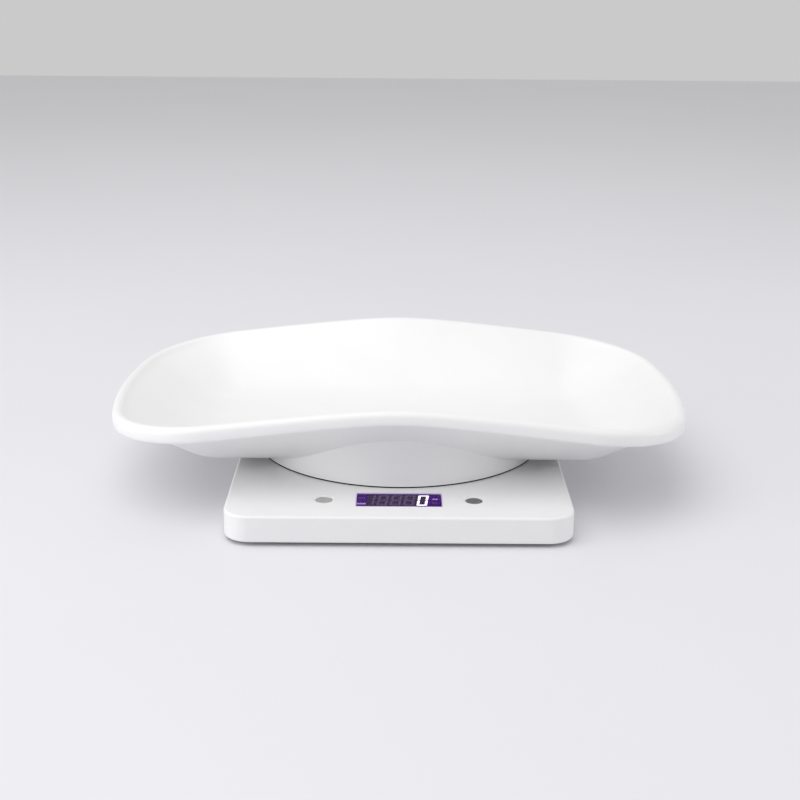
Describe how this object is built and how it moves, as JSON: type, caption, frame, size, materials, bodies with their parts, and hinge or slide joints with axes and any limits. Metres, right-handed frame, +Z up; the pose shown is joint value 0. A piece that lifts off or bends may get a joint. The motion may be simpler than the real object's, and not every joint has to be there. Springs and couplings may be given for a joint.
{
  "type": "animal weighing scale",
  "caption": "Slim electronic table scale for small animals, with a saddle-shaped removable tray, a round weighing platform, an inset display, push buttons and a sliding battery door.",
  "frame": {"origin": "middle of the whole object's plan, on the surface that the feet stand on", "axes": "+Z up, +X along the tray's length to the right of a person facing the display, -Y towards the display and that person"},
  "size_m": [0.3404, 0.2366, 0.0683],
  "materials": {
    "tray_plastic": "glossy white moulded ABS",
    "cover_plastic": "satin white moulded ABS",
    "floor_plastic": "finely spark-eroded white ABS",
    "platform_plastic": "charcoal glass-filled nylon",
    "button_plastic": "grey moulded key plastic",
    "foot_rubber": "dark grey rubber",
    "pad_rubber": "dark grey rubber",
    "screw_steel": "zinc-plated steel",
    "switch_steel": "pressed steel",
    "contact_nickel": "nickel-plated spring steel",
    "cell_aluminium": "machined aluminium",
    "sealant": "white silicone sealant",
    "battery_sleeve": "printed film sleeve",
    "circuit_board": "green solder mask",
    "black_epoxy": "moulded black epoxy",
    "clear_window": "clear acrylic",
    "lcd": "purple liquid-crystal display",
    "diffuser": "milky diffuser plastic",
    "cable_white": "white PVC jacket",
    "lead_red": "red PVC jacket",
    "lead_black": "black PVC jacket"
  },
  "bodies": {
    "base": {"top_cover": "cover_plastic", "bottom_cover": "floor_plastic", "rubber_foot_1": "foot_rubber", "rubber_foot_2": "foot_rubber", "rubber_foot_3": "foot_rubber", "rubber_foot_4": "foot_rubber", "case_screw_1": "screw_steel", "case_screw_2": "screw_steel", "case_screw_3": "screw_steel", "case_screw_4": "screw_steel", "case_screw_5": "screw_steel", "case_screw_6": "screw_steel", "load_cell": "cell_aluminium", "gauge_sealant": "sealant", "load_cell_screw_1": "screw_steel", "load_cell_screw_2": "screw_steel", "battery_1": "battery_sleeve", "battery_2": "battery_sleeve", "battery_contact_positive": "contact_nickel", "battery_contact_negative": "contact_nickel", "battery_contact_bridge": "contact_nickel", "circuit_board": "circuit_board", "controller_chip": "black_epoxy", "board_screw_1": "screw_steel", "board_screw_2": "screw_steel", "board_screw_3": "screw_steel", "board_screw_4": "screw_steel", "display_window": "clear_window", "lcd_glass": "lcd", "backlight_panel": "diffuser", "display_frame": "diffuser", "tact_switch_left": "switch_steel", "tact_switch_right": "switch_steel", "load_cell_cable": "cable_white", "battery_lead_red": "lead_red", "battery_lead_black": "lead_black"},
    "platform": {"platform_plate": "platform_plastic", "platform_screw_1": "screw_steel", "platform_screw_2": "screw_steel", "platform_pad_1": "pad_rubber", "platform_pad_2": "pad_rubber", "platform_pad_3": "pad_rubber", "platform_pad_4": "pad_rubber"},
    "tray": {"tray": "tray_plastic"},
    "button_left": {"button_left": "button_plastic", "switch_stem_left": "black_epoxy"},
    "button_right": {"button_right": "button_plastic", "switch_stem_right": "black_epoxy"},
    "battery_door": {"battery_door": "floor_plastic"}
  },
  "joints": [
    {"name": "platform_travel", "type": "slide", "parent": "base", "child": "platform", "axis": [0, 0, 1], "range_m": [-0.0005, 0], "stiffness_N_per_m": 196000, "deforming": ["load_cell"]},
    {"name": "tray_lift", "type": "slide", "parent": "platform", "child": "tray", "axis": [0, 0, 1], "range_m": [0, 0.06]},
    {"name": "button_left_press", "type": "slide", "parent": "base", "child": "button_left", "axis": [0, 0, -1], "range_m": [0, 0.0005], "stiffness_N_per_m": 1500, "springref_m": -0.0002},
    {"name": "button_right_press", "type": "slide", "parent": "base", "child": "button_right", "axis": [0, 0, -1], "range_m": [0, 0.0005], "stiffness_N_per_m": 1500, "springref_m": -0.0002},
    {"name": "battery_door_slide", "type": "slide", "parent": "base", "child": "battery_door", "axis": [0, 1, 0], "range_m": [0, 0.008]}
  ]
}
